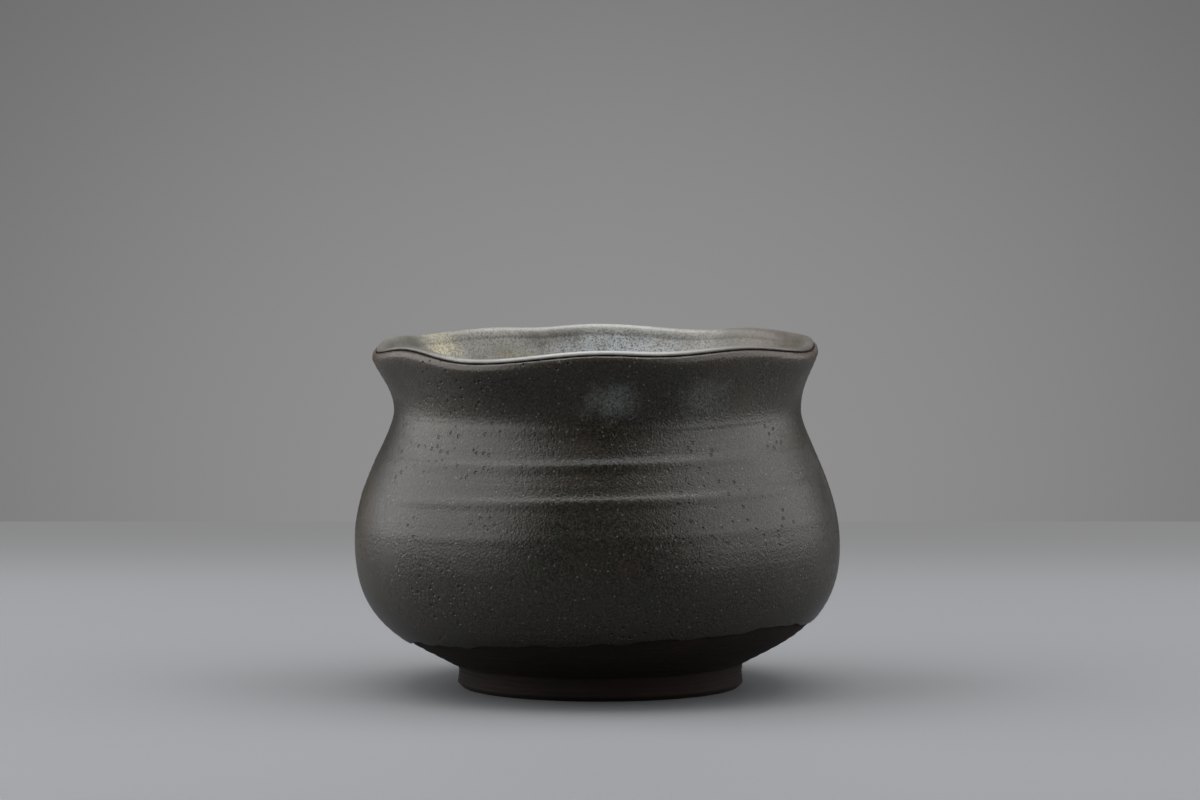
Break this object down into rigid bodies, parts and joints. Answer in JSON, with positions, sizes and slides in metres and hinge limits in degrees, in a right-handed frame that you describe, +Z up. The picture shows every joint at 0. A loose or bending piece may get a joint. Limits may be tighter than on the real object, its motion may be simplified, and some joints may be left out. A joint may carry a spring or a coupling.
{
  "type": "side dish bowl",
  "caption": "Deep thrown stoneware side dish bowl with a round belly, narrowed neck, waved lip, foot ring, and inner and outer glaze coats.",
  "frame": {"origin": "on the surface that the bowl stands on, under the middle of the belly", "axes": "+Z up through the mouth, -Y towards the side that the picture shows, +X to its right"},
  "size_m": [0.12, 0.12, 0.0866],
  "materials": {
    "bare_clay": "unglazed reddish-brown stoneware, matt, with turning marks",
    "grey_glaze": "dark grey-olive wood-ash glaze, satin, finely pitted and speckled",
    "ash_glaze": "pale grey ash glaze with cream and olive patches, satin-gloss"
  },
  "bodies": {
    "root": {"clay_body": "bare_clay", "foot_ring": "bare_clay", "outer_glaze": "grey_glaze", "inner_glaze": "ash_glaze"}
  },
  "joints": []
}
